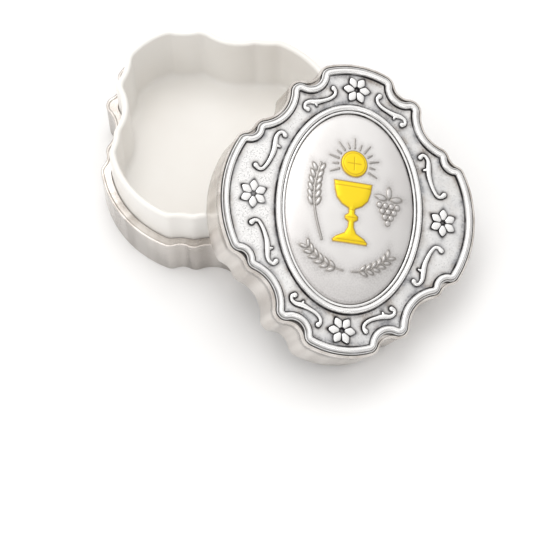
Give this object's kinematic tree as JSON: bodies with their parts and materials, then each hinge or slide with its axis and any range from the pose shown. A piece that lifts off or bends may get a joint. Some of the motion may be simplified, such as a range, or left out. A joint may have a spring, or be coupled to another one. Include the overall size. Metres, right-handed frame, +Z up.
{
  "type": "rosary box",
  "caption": "Small lobed keepsake box with a raised inner lip and a telescoping lid that carries a cast ornamental frame round a domed oval plaque.",
  "frame": {"origin": "centre of the base's flat underside, which stands on the surface", "axes": "+Z up, Y along the base's long axis, X across it; the lid leans on the base's -Y lobe"},
  "size_m": [0.0724, 0.1059, 0.0363],
  "materials": {
    "base_tray": "pearl silver lacquer, satin",
    "base_cup": "off-white, soft gloss",
    "lid_shell": "pearl silver lacquer, satin",
    "lid_frame": "bright silver, dark in the recesses",
    "plaque_core": "plain moulding, hidden",
    "plaque_sheet": "pressed sheet, satin silver with gilt wafer"
  },
  "bodies": {
    "base": {"base_tray": "base_tray", "base_cup": "base_cup"},
    "lid": {"lid_shell": "lid_shell", "lid_frame": "lid_frame", "plaque_core": "plaque_core", "plaque_sheet": "plaque_sheet"}
  },
  "joints": [
    {"name": "lid_lift", "type": "slide", "parent": "base", "child": "lid", "axis": [0.088, -0.3823, 0.9198], "range_m": [0, 0.04]}
  ]
}
